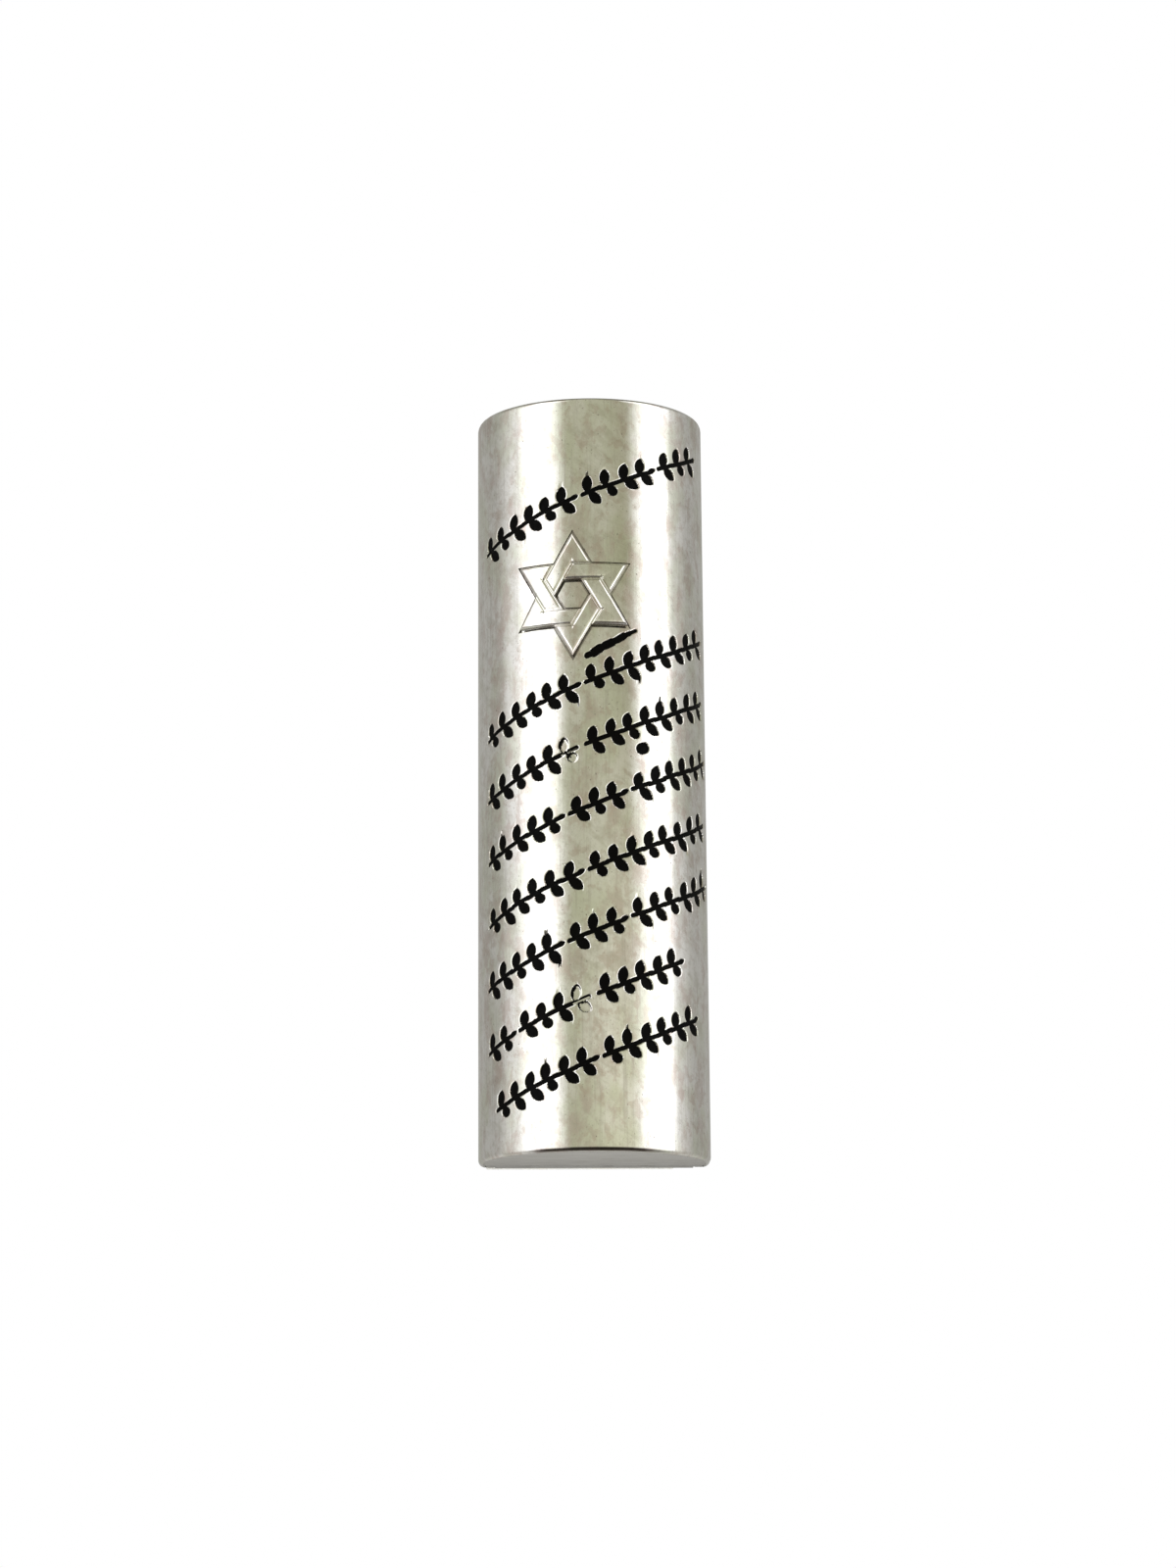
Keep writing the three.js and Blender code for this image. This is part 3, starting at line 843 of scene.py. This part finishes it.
def make_scroll(material):
    """Rolled parchment: one long sheet wound in a spiral, its edges slightly out of step."""
    centre = (SLEEVE_LOW[1] + SLEEVE_HIGH[1]) / 2
    outer, core, thickness, pitch = 3.1, 1.0, 0.2, 0.45
    turns = (outer - core) / pitch
    count = round(turns * 48)
    angles = np.linspace(0, 2 * math.pi * turns, count)
    wave = 0.05 * np.sin(angles * 1.7)
    radius = core + pitch * angles / (2 * math.pi) + np.where(angles > 9, wave, 0)
    slip = 0.25 * np.sin(angles * 0.8)
    low, high = SCROLL_LOW[2] + 0.3, SCROLL_HIGH[2] - 0.3
    rings = []
    for share in np.linspace(0, 1, 30):
        z = low + (high - low) * share + slip
        out = np.stack([radius * np.cos(angles), centre + radius * np.sin(angles), z], -1)
        within = radius - thickness
        inn = np.stack([within * np.cos(angles), centre + within * np.sin(angles), z], -1)
        rings.append(np.concatenate([out, inn[::-1]]))
    faces = faces_between(rings)
    size = 2 * count
    top = (len(rings) - 1) * size
    for i in range(count - 1):
        faces.append((i, size - 1 - i, size - 2 - i, i + 1))
        faces.append((top + i, top + i + 1, top + size - 2 - i, top + size - 1 - i))
    return new_object("scroll", np.concatenate(rings), faces, material, 50)


# ---- materials


class Nodes:
    """Short forms for building a node tree."""

    def __init__(self, tree):
        self.tree = tree
        tree.nodes.clear()

    def add(self, kind, values=None, **settings):
        node = self.tree.nodes.new(kind)
        for key, value in settings.items():
            setattr(node, key, value)
        for key, value in (values or {}).items():
            self.plug(value, node.inputs[key])
        return node

    def plug(self, value, socket):
        if isinstance(value, bpy.types.NodeSocket):
            self.tree.links.new(value, socket)
        else:
            socket.default_value = value

    def math(self, operation, a, b=0.0):
        return self.add("ShaderNodeMath", {0: a, 1: b}, operation=operation).outputs[0]

    def times(self, a, b):
        return self.math("MULTIPLY", a, b)

    def ramp(self, value, low, high, to_low=0.0, to_high=1.0):
        """Smooth step from to_low below low to to_high above high."""
        values = {"Value": value, "From Min": low, "From Max": high, "To Min": to_low, "To Max": to_high}
        return self.add("ShaderNodeMapRange", values, interpolation_type="SMOOTHSTEP").outputs[0]

    def mix(self, share, a, b):
        node = self.add("ShaderNodeMix", data_type="RGBA")
        self.plug(share, node.inputs[0])
        self.plug(a, node.inputs[6])
        self.plug(b, node.inputs[7])
        return node.outputs[2]

    def noise(self, scale, detail=3.0, roughness=0.5, distortion=0.0, turn=0):
        """Noise whose scale is given per millimetre along each axis, and whose grain may be turned."""
        vector = self.slanted(scale, turn) if turn else self.millimetres(scale)
        values = {"Vector": vector, "Scale": 1.0, "Detail": detail}
        values |= {"Roughness": roughness, "Distortion": distortion}
        return self.add("ShaderNodeTexNoise", values).outputs["Fac"]

    def millimetres(self, scale=(1.0, 1.0, 1.0)):
        """Object coordinates in millimetres, stretched along each axis."""
        source = self.add("ShaderNodeTexCoord").outputs["Object"]
        scale = tuple(value / MM for value in scale)
        return self.add("ShaderNodeMapping", {"Vector": source, "Scale": scale}).outputs[0]

    def slanted(self, scale, turn):
        """Object coordinates in millimetres, turned about the depth axis before they are stretched."""
        values = {"Vector": self.millimetres(), "Rotation": (0.0, math.radians(turn), 0.0)}
        turned = self.add("ShaderNodeMapping", values).outputs[0]
        return self.add("ShaderNodeMapping", {"Vector": turned, "Scale": scale}).outputs[0]

    def bump(self, height, strength, distance, normal=None):
        values = {"Height": height, "Strength": strength, "Distance": distance * MM}
        node = self.add("ShaderNodeBump", values)
        if normal:
            self.plug(normal, node.inputs["Normal"])
        return node.outputs[0]

    def surface(self, **values):
        named = {key.replace("_", " "): value for key, value in values.items()}
        shader = self.add("ShaderNodeBsdfPrincipled", named)
        self.add("ShaderNodeOutputMaterial", {"Surface": shader.outputs[0]})
        return shader


def new_material(name):
    material = bpy.data.materials.new(name)
    material.use_nodes = True
    return material, Nodes(material.node_tree)


def grey(value):
    return (value, value, value, 1.0)


def polished_metal(name, patina_and_shade_top):
    """Hand-polished cast metal, a little tarnished: soft stains in pink and olive, upright wipe marks,
    small dull specks, fine hair scratches and a surface that isn't quite true. What is sunk below the
    given top level gets dark patina, which also serves as painted shade in the grooves and at the foot
    of raised parts; a dark reflection is painted as a line along the lower front edge; and the end
    faces and the inside are dull."""
    material, n = new_material(name)
    cloud = n.noise((0.30, 0.30, 0.16), 5.0, 0.6, 0.2)
    patch = n.noise((0.55, 0.55, 0.30), 6.0, 0.68, 0.15)
    wipe = n.noise((3.6, 3.6, 0.13), 4.0, 0.62, 0.3)
    smear = n.noise((1.1, 0.8, 0.3), 4.0, 0.62, 0.4, turn=55)
    blotch = n.noise((0.95, 0.95, 0.7), 4.0, 0.6, 0.3)
    grain = n.noise((2.4, 2.4, 1.8), 4.0, 0.7)
    speck = n.noise((6.5, 6.5, 5.0), 2.0, 0.5)
    hair = n.noise((24.0, 24.0, 0.6), 2.0, 0.5)
    swell = n.noise((0.42, 0.42, 0.10), 2.0, 0.4)

    colour = n.mix(n.ramp(cloud, 0.40, 0.64), (0.87, 0.86, 0.84, 1), (0.74, 0.755, 0.655, 1))
    colour = n.mix(n.ramp(patch, 0.48, 0.66, 0.0, 0.75), colour, (0.62, 0.54, 0.50, 1))
    colour = n.mix(n.ramp(smear, 0.48, 0.68, 0.0, 0.42), colour, (0.56, 0.54, 0.47, 1))
    colour = n.mix(n.ramp(wipe, 0.50, 0.72, 0.0, 0.42), colour, (0.48, 0.445, 0.41, 1))
    colour = n.mix(n.ramp(blotch, 0.54, 0.62, 0.0, 0.38), colour, (0.55, 0.44, 0.39, 1))
    colour = n.mix(n.ramp(grain, 0.48, 0.72, 0.0, 0.4), colour, (0.52, 0.50, 0.45, 1))
    colour = n.mix(n.ramp(speck, 0.69, 0.75, 0.0, 0.85), colour, (0.14, 0.10, 0.085, 1))
    rough = n.math("ADD", n.ramp(patch, 0.35, 0.72, 0.09, 0.18), n.ramp(wipe, 0.4, 0.8, 0.0, 0.07))

    axes = n.add("ShaderNodeSeparateXYZ", {0: n.millimetres()}).outputs
    end = n.ramp(n.math("ABSOLUTE", axes[2]), HALF_LENGTH - 0.07, HALF_LENGTH - 0.01)
    across = n.math("POWER", n.math("DIVIDE", axes[0], HALF_WIDTH), 2.0)
    lift = n.math("MINIMUM", n.math("SUBTRACT", axes[1], ARCH_BASE), 0.0)
    through = n.math("POWER", n.math("DIVIDE", lift, ARCH_HEIGHT), 2.0)
    level = n.math("SQRT", n.math("ADD", across, through))
    height = n.times(n.math("SUBTRACT", level, 1.0), (HALF_WIDTH + ARCH_HEIGHT) / 2)
    inside = n.ramp(height, -0.62, -0.5, 1.0, 0.0)
    # What is sunk below the given top gets dark patina: patina in the hollows, and painted shade down
    # the groove walls and round the foot of the star
    below_top = n.ramp(height, patina_and_shade_top - 0.04, patina_and_shade_top, 1.0, 0.0)
    sunk_patina_and_shade = n.times(n.ramp(height, -0.31, -0.27), below_top)
    in_front = n.ramp(axes[1], ARCH_BASE, ARCH_BASE + 0.3, 1.0, 0.0)
    off_edges = n.ramp(n.math("ABSOLUTE", axes[2]), HALF_LENGTH - 0.7, HALF_LENGTH - 0.55, 1.0, 0.0)
    sunk_patina_and_shade = n.times(sunk_patina_and_shade, n.times(in_front, off_edges))
    patina_and_painted_shade = n.times(sunk_patina_and_shade, n.ramp(grain, 0.30, 0.62, 0.95, 0.6))
    # Painted reflection: a dark red-brown line along the lower front edge, standing in for the dark that
    # the rounded edge mirrors; it fades out towards the sides and is broken up by the stains
    edge = n.math("ADD", axes[2], HALF_LENGTH)
    painted_edge_reflection = n.times(n.ramp(edge, 0.03, 0.09), n.ramp(edge, 0.28, 0.42, 1.0, 0.0))
    painted_reflection_ends = n.times(n.ramp(axes[0], -6.4, -4.6), n.ramp(axes[0], 3.6, 7.6, 1.0, 0.0))
    painted_edge_reflection = n.times(n.times(painted_edge_reflection, painted_reflection_ends), n.ramp(patch, 0.3, 0.6, 0.98, 0.82))
    # Patina colour, which is also painted shade in the grooves and at the star's foot
    colour = n.mix(patina_and_painted_shade, colour, (0.055, 0.04, 0.028, 1))
    # Colour of the painted dark reflection along the lower front edge
    colour = n.mix(painted_edge_reflection, colour, (0.035, 0.014, 0.009, 1))
    dull = n.math("MAXIMUM", end, inside)
    rough = n.math("MAXIMUM", rough, n.times(n.math("MAXIMUM", dull, patina_and_painted_shade), 0.42))
    colour = n.mix(n.times(dull, 0.7), colour, (0.60, 0.59, 0.57, 1))

    wave = n.bump(swell, 0.5, 0.05)
    marks = n.math("ADD", n.times(wipe, 0.6), n.times(hair, 0.25))
    marks = n.bump(n.math("ADD", marks, n.times(grain, 0.3)), 0.25, 0.012, wave)
    n.surface(Base_Color=colour, Metallic=1.0, Roughness=rough, Normal=marks)
    return material


def satin_metal():
    """Fine-brushed satin metal for the two ends of the case, with painted light that makes it paler
    towards the front.
    """
    material, n = new_material("satin_metal")
    brush = n.noise((0.22, 5.5, 5.5), 5.0, 0.7)
    cloud = n.noise((0.35, 0.6, 0.6), 4.0, 0.6, 0.5)
    nick = n.noise((2.4, 3.6, 3.6), 3.0, 0.6)
    colour = n.mix(n.ramp(cloud, 0.4, 0.66), (0.66, 0.65, 0.63, 1), (0.56, 0.545, 0.52, 1))
    colour = n.mix(n.ramp(brush, 0.42, 0.68, 0.0, 0.45), colour, (0.45, 0.44, 0.42, 1))
    colour = n.mix(n.ramp(nick, 0.64, 0.72, 0.0, 0.5), colour, (0.33, 0.31, 0.285, 1))
    depth = n.add("ShaderNodeSeparateXYZ", {0: n.millimetres()}).outputs[1]
    # Painted light: towards the front the ends are mixed with near-white, fading out towards the back
    colour = n.mix(n.ramp(depth, SHELL_LOW[1], CASE_BACK, 0.55, 0.0), colour, (0.93, 0.92, 0.90, 1))
    rough = n.ramp(brush, 0.35, 0.65, 0.33, 0.5)
    n.surface(Base_Color=colour, Metallic=1.0, Roughness=rough, Normal=n.bump(brush, 0.4, 0.02))
    return material


def plate_metal():
    """Rolled sheet metal with long drawn marks and a few scuffs."""
    material, n = new_material("plate_metal")
    drawn = n.noise((4.5, 4.5, 0.08), 5.0, 0.7)
    scuff = n.noise((0.8, 0.8, 0.5), 5.0, 0.65, 0.3)
    colour = n.mix(n.ramp(scuff, 0.45, 0.7), (0.54, 0.535, 0.525, 1), (0.44, 0.43, 0.41, 1))
    colour = n.mix(n.ramp(drawn, 0.45, 0.7, 0.0, 0.4), colour, (0.37, 0.36, 0.345, 1))
    rough = n.math("ADD", n.ramp(drawn, 0.3, 0.7, 0.32, 0.44), n.ramp(scuff, 0.5, 0.8, 0.0, 0.12))
    n.surface(Base_Color=colour, Metallic=1.0, Roughness=rough, Normal=n.bump(drawn, 0.35, 0.012))
    return material


def black_enamel():
    """Black filling: slightly uneven and dull, with small brownish specks."""
    material, n = new_material("black_enamel")
    lump = n.noise((3.0, 3.0, 3.0), 3.0, 0.55)
    speck = n.noise((11.0, 11.0, 11.0), 2.0, 0.6)
    black, brown = (0.0012, 0.0011, 0.001, 1), (0.008, 0.006, 0.005, 1)
    colour = n.mix(n.ramp(speck, 0.6, 0.75, 0.0, 0.5), black, brown)
    rough = n.ramp(lump, 0.35, 0.7, 0.38, 0.6)
    n.surface(
        Base_Color=colour,
        Roughness=rough,
        Specular_IOR_Level=0.04,
        Normal=n.bump(lump, 0.5, 0.03),
    )
    return material


def foam_tape():
    """White closed-cell foam with fine cells and pits darkened as painted shade, yellowed and dragged in
    places.
    """
    material, n = new_material("foam_tape")
    painted_pore_shade = n.add(
        "ShaderNodeTexVoronoi",
        {"Vector": n.millimetres((1.3, 1.3, 1.3)), "Scale": 1.0, "Randomness": 1.0},
        feature="F1",
    ).outputs["Distance"]
    cells = n.noise((3.4, 3.4, 3.4), 4.0, 0.75)
    cloud = n.noise((0.3, 0.3, 0.2), 3.0, 0.6)
    drag = n.noise((1.3, 1.3, 0.12), 4.0, 0.65, 0.3)
    colour = n.mix(n.ramp(cells, 0.36, 0.6), (0.76, 0.75, 0.715, 1), (0.93, 0.925, 0.905, 1))
    # Painted shade: the pits are darkened grey
    colour = n.mix(n.ramp(painted_pore_shade, 0.06, 0.16, 0.7, 0.0), colour, (0.48, 0.46, 0.42, 1))
    colour = n.mix(n.ramp(cloud, 0.45, 0.7, 0.0, 0.45), colour, (0.84, 0.79, 0.66, 1))
    colour = n.mix(n.ramp(drag, 0.5, 0.72, 0.0, 0.4), colour, (0.74, 0.73, 0.70, 1))
    rough = n.ramp(drag, 0.4, 0.65, 0.32, 0.62)
    n.surface(Base_Color=colour, Roughness=rough, Normal=n.bump(cells, 0.7, 0.06))
    return material


def clear_plastic():
    """Thin clear film with faint length-wise draw lines."""
    material, n = new_material("clear_plastic")
    draw = n.noise((9.0, 9.0, 0.08), 2.0, 0.5)
    rough = n.ramp(draw, 0.35, 0.75, 0.04, 0.16)
    n.surface(
        Base_Color=(0.93, 0.95, 0.955, 1),
        Roughness=rough,
        IOR=1.35,
        Transmission_Weight=0.92,
        Normal=n.bump(draw, 0.25, 0.01),
    )
    return material


def parchment():
    """Cream parchment: fibre flecks."""
    material, n = new_material("parchment")
    fibre = n.noise((1.3, 1.3, 3.4), 5.0, 0.7)
    cloud = n.noise((0.5, 0.5, 0.32), 4.0, 0.6, 0.4)
    fleck = n.noise((3.6, 3.6, 3.6), 2.0, 0.5)
    colour = n.mix(n.ramp(cloud, 0.4, 0.62), (0.86, 0.76, 0.55, 1), (0.66, 0.53, 0.33, 1))
    colour = n.mix(n.ramp(fibre, 0.48, 0.68, 0.0, 0.6), colour, (0.52, 0.40, 0.24, 1))
    colour = n.mix(n.ramp(fleck, 0.66, 0.74, 0.0, 0.7), colour, (0.30, 0.20, 0.11, 1))
    n.surface(
        Base_Color=colour,
        Roughness=0.72,
        Subsurface_Weight=0.08,
        Normal=n.bump(fibre, 0.6, 0.06),
    )
    return material


# ---- studio


def make_world():
    """A plain studio seen in the metal: two tall soft boxes with an olive gap between them, dark below
    the gap, and grey sides that are paler low down and darker overhead. The camera sees plain white."""
    world = bpy.data.worlds.new("studio")
    bpy.context.scene.world = world
    world.use_nodes = True
    n = Nodes(world.node_tree)
    direction = n.add("ShaderNodeTexCoord").outputs["Generated"]
    x, y, z = n.add("ShaderNodeSeparateXYZ", {0: direction}).outputs
    round_angle = n.math("ARCTAN2", x, n.times(y, -1.0))
    degrees = n.times(round_angle, 180 / math.pi)
    height = n.times(n.math("ARCSINE", z), 180 / math.pi)

    def between(value, low, low_soft, high, high_soft):
        rise = n.ramp(value, low - low_soft, low + low_soft)
        fall = n.ramp(value, high - high_soft, high + high_soft, 1.0, 0.0)
        return n.times(rise, fall)

    tall = between(height, -38, 9, 62, 8)
    wide, narrow = n.ramp(degrees, -102, -74, 0.0, 0.3), n.ramp(degrees, -78, -56, 0.0, 0.7)
    left_edge = n.math("ADD", wide, narrow)
    left_box = n.times(left_edge, n.ramp(degrees, -41, -20, 1.0, 0.0))
    wide, narrow = n.ramp(degrees, 70, 108, 0.28, 0.0), n.ramp(degrees, 71.5, 83.5, 0.72, 0.0)
    right_edge = n.math("ADD", wide, narrow)
    right_box = n.times(n.ramp(degrees, 30, 55), right_edge)
    boxes = n.times(n.math("MAXIMUM", left_box, right_box), tall)
    gap = between(degrees, -52, 10, 56, 10)

    aside = n.math("ABSOLUTE", degrees)
    side = n.mix(n.ramp(aside, 80, 118), (0.54, 0.53, 0.50, 1), (0.43, 0.425, 0.40, 1))
    colour = n.mix(n.ramp(height, -45, -8, 1.0, 0.0), side, (0.62, 0.61, 0.58, 1))
    colour = n.mix(n.ramp(height, 45, 75), colour, (0.24, 0.235, 0.20, 1))
    low_gap = n.mix(n.ramp(degrees, -28, 26), (0.52, 0.515, 0.40, 1), (0.83, 0.81, 0.66, 1))
    high_gap = n.mix(n.ramp(degrees, 8, 36), (0.51, 0.505, 0.39, 1), (0.40, 0.385, 0.275, 1))
    warm = n.mix(n.ramp(height, 8, 16), low_gap, high_gap)
    colour = n.mix(gap, colour, warm)
    under = n.times(n.ramp(height, -38, -2, 1.0, 0.0), between(degrees, -70, 10, 70, 14))
    colour = n.mix(under, colour, (0.15, 0.14, 0.125, 1))
    colour = n.mix(boxes, colour, grey(1.9))

    is_camera = n.add("ShaderNodeLightPath").outputs["Is Camera Ray"]
    colour = n.mix(is_camera, colour, grey(1.0))
    background = n.add("ShaderNodeBackground", {"Color": colour, "Strength": 1.0})
    n.add("ShaderNodeOutputWorld", {"Surface": background.outputs[0]})


def make_sun(toward, strength, spread):
    """Broad soft light on the floor and the dull parts, which the metal doesn't mirror."""
    sun = bpy.data.lights.new("sun", "SUN")
    sun.energy = strength
    sun.angle = math.radians(spread)
    obj = in_scene("sun", sun)
    obj.rotation_euler = Vector(toward).to_track_quat("Z", "Y").to_euler()
    obj.visible_glossy = False


def make_floor():
    """A wide pale floor well below the case, which hangs on a wall in use."""
    material, n = new_material("floor")
    cloud = n.noise((0.01, 0.01, 0.01), 3.0, 0.5)
    n.surface(Base_Color=n.mix(cloud, grey(0.80), grey(0.84)), Roughness=0.9)
    reach, level = 40.0, -0.28
    mesh = bpy.data.meshes.new("floor")
    signs = ((-1, -1), (1, -1), (1, 1), (-1, 1))
    mesh.from_pydata([(reach * x, reach * y, level) for x, y in signs], [], [(0, 1, 2, 3)])
    mesh.materials.append(material)
    floor = in_scene("floor", mesh)
    floor.visible_glossy = False


def make_camera():
    """Camera a little below the case and slightly to its left, looking up at it."""
    below, aside, roll = np.radians(CAMERA_TURNS).tolist()
    away = CAMERA_WIDTHS_AWAY * 2 * HALF_WIDTH * MM
    back = Vector(
        (math.sin(aside) * math.cos(below), -math.cos(aside) * math.cos(below), -math.sin(below))
    )
    camera_data = bpy.data.cameras.new("camera")
    camera_data.lens = CAMERA_LENS
    camera = in_scene("camera", camera_data)
    centre = Vector((0, CASE_BACK * MM, 0))
    camera.location = centre + back * away
    look = (-back).to_track_quat("-Z", "Y")
    right, up = look @ Vector((1, 0, 0)), look @ Vector((0, 1, 0))
    aim = centre + right * CAMERA_AIM[0] * MM + up * CAMERA_AIM[1] * MM
    look = (aim - camera.location).to_track_quat("-Z", "Y")
    camera.rotation_mode = "QUATERNION"
    camera.rotation_quaternion = look @ Quaternion((0, 0, 1), roll)
    camera_data.clip_start, camera_data.clip_end = 0.01, 100
    bpy.context.scene.camera = camera


# ---- assembly


def place(piece, body, slot, *nodes):
    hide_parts(*nodes)
    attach(piece, body)


def main():
    make_camera()
    polished = polished_metal("polished_metal", -0.05)
    satin, enamel = satin_metal(), black_enamel()

    shell, s, z, field = make_shell(polished)
    place(shell, "case", "polished_metal", "front_shell")
    level = z - ROW_SLOPE * s
    for row, sprig, start, pairs, height in sprigs():
        first, last = start - 0.5 * SPRIG_GAP, start + pairs * LEAF_PITCH + 0.5 * SPRIG_GAP
        inside = (np.abs(level - height) < SPRIG_REACH) & (s > first) & (s < last)
        inlay = make_inlay(f"enamel_{row}_{sprig}", s, z, field, inside, enamel)
        place(inlay, "case", "black_enamel", f"inlay_{row}_{sprig}")
    left, right, low, high = ACCENT_AREA
    inside = (level > low) & (level < high) & (s > left) & (s < right)
    accent = make_inlay("enamel_accent", s, z, field, inside, enamel)
    place(accent, "case", "black_enamel", "accent_inlay")
    inside = np.hypot(s - DOT_PLACE[0], z - DOT_PLACE[1]) < DOT_REACH
    dot = make_inlay("enamel_dot", s, z, field, inside, enamel)
    place(dot, "case", "black_enamel", "dot_inlay")

    star = make_star(polished_metal("polished_star", 0.16))
    place(star, "case", "polished_metal", "star_emblem")
    top_cap, bottom_cap = make_caps(satin)
    place(top_cap, "case", "satin_metal", "top_cap")
    place(bottom_cap, "scroll_carrier", "satin_metal", "bottom_cap")

    place(make_plate(plate_metal()), "back_plate", "plate_metal", "back_plate")
    tape = make_tape(foam_tape())
    place(tape, "back_plate", "foam_tape", "adhesive_tape")
    place(make_sleeve(clear_plastic()), "scroll_carrier", "clear_plastic", "scroll_sleeve")
    place(make_scroll(parchment()), "scroll_carrier", "parchment", "parchment_scroll")

    make_world()
    make_sun((0.35, -0.6, 1.0), 2.2, 35)
    make_floor()
    bpy.context.scene.view_settings.view_transform = "Standard"


main()
